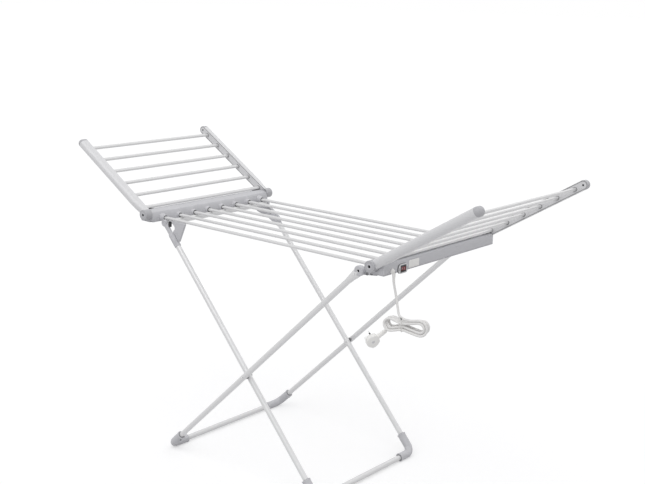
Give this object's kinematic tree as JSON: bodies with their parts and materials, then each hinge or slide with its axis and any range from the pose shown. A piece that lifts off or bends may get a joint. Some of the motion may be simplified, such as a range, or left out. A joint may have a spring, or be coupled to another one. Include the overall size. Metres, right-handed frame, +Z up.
{
  "type": "heated clothes airer",
  "caption": "Folding heated clothes airer with winged racks of oval bars on a scissor leg frame, with its lead tied in a hank.",
  "frame": {"origin": "on the floor under the middle of the open airer", "axes": "+X along the rack towards the housing with the switch, +Z up"},
  "size_m": [1.4774, 0.5511, 0.9213],
  "materials": {
    "bars": "silver-grey powder coat on aluminium tube",
    "wing_rails": "pale silver-grey satin",
    "leg_tubes": "silver-grey powder coat",
    "grey_plastic": "mid grey fine texture",
    "screws": "dark plated",
    "rivets": "grey",
    "switch_bezel": "pale grey satin",
    "switch_rocker": "dark red",
    "white_plastic": "off-white",
    "lead": "off-white satin",
    "heating_cable": "grey silicone"
  },
  "bodies": {
    "rack": {"rack_bar_1": "bars", "rack_bar_2": "bars", "rack_bar_3": "bars", "rack_bar_4": "bars", "rack_bar_5": "bars", "rack_bar_6": "bars", "rack_bar_7": "bars", "rack_bar_8": "bars", "left_housing": "grey_plastic", "right_housing": "grey_plastic", "left_base_cover": "grey_plastic", "right_base_cover": "grey_plastic", "left_near_hinge_screw": "screws", "left_far_hinge_screw": "screws", "right_near_hinge_screw": "screws", "right_far_hinge_screw": "screws", "near_leg_pivot_screw": "screws", "far_leg_pivot_screw": "screws", "switch_bezel": "switch_bezel", "cord_gland": "white_plastic", "supply_lead": "lead", "lead_hank": "lead", "hank_tie": "white_plastic", "mains_plug": "lead", "rack_heating_cable": "heating_cable", "terminal_block": "white_plastic"},
    "left_wing": {"left_wing_bar_1": "bars", "left_wing_bar_2": "bars", "left_wing_bar_3": "bars", "left_wing_bar_4": "bars", "left_wing_bar_5": "bars", "left_wing_bar_6": "bars", "left_wing_near_rail": "wing_rails", "left_wing_far_rail": "wing_rails"},
    "right_wing": {"right_wing_bar_1": "bars", "right_wing_bar_2": "bars", "right_wing_bar_3": "bars", "right_wing_bar_4": "bars", "right_wing_bar_5": "bars", "right_wing_bar_6": "bars", "right_wing_near_rail": "wing_rails", "right_wing_far_rail": "wing_rails"},
    "outer_frame": {"outer_frame_near_elbow_foot": "grey_plastic", "outer_frame_near_leg": "leg_tubes", "outer_frame_far_elbow_foot": "grey_plastic", "outer_frame_far_leg": "leg_tubes", "outer_frame_foot_tube": "leg_tubes", "near_top_knuckle": "grey_plastic", "far_top_knuckle": "grey_plastic", "near_crossing_pivot": "rivets", "far_crossing_pivot": "rivets"},
    "inner_frame": {"inner_frame_near_elbow_foot": "grey_plastic", "inner_frame_near_leg": "leg_tubes", "inner_frame_far_elbow_foot": "grey_plastic", "inner_frame_far_leg": "leg_tubes", "inner_frame_foot_tube": "leg_tubes", "near_top_bracket": "grey_plastic", "far_top_bracket": "grey_plastic", "lift_rod": "leg_tubes"},
    "switch_rocker": {"switch_rocker": "switch_rocker"}
  },
  "joints": [
    {"name": "left_wing_hinge", "type": "hinge", "parent": "rack", "child": "left_wing", "pos_m": [-0.429, 0, 0.7265], "axis": [0, 1, 0], "range_deg": [0, 147]},
    {"name": "right_wing_hinge", "type": "hinge", "parent": "rack", "child": "right_wing", "pos_m": [0.429, 0, 0.7265], "axis": [0, -1, 0], "range_deg": [0, 147]},
    {"name": "outer_leg_fold", "type": "hinge", "parent": "rack", "child": "outer_frame", "pos_m": [0.375, 0, 0.701], "axis": [0, -1, 0], "range_deg": [0, 43]},
    {"name": "inner_leg_fold", "type": "hinge", "parent": "outer_frame", "child": "inner_frame", "pos_m": [-0.0339, 0, 0.30817], "axis": [0, 1, 0], "range_deg": [0, 86]},
    {"name": "rocker_tilt", "type": "hinge", "parent": "rack", "child": "switch_rocker", "pos_m": [0.4585, -0.1754, 0.7106], "axis": [0, 0, 1], "range_deg": [0, 16]}
  ],
  "couplings": [
    {"joint": "inner_leg_fold", "follows": "outer_leg_fold", "ratio": 2}
  ]
}
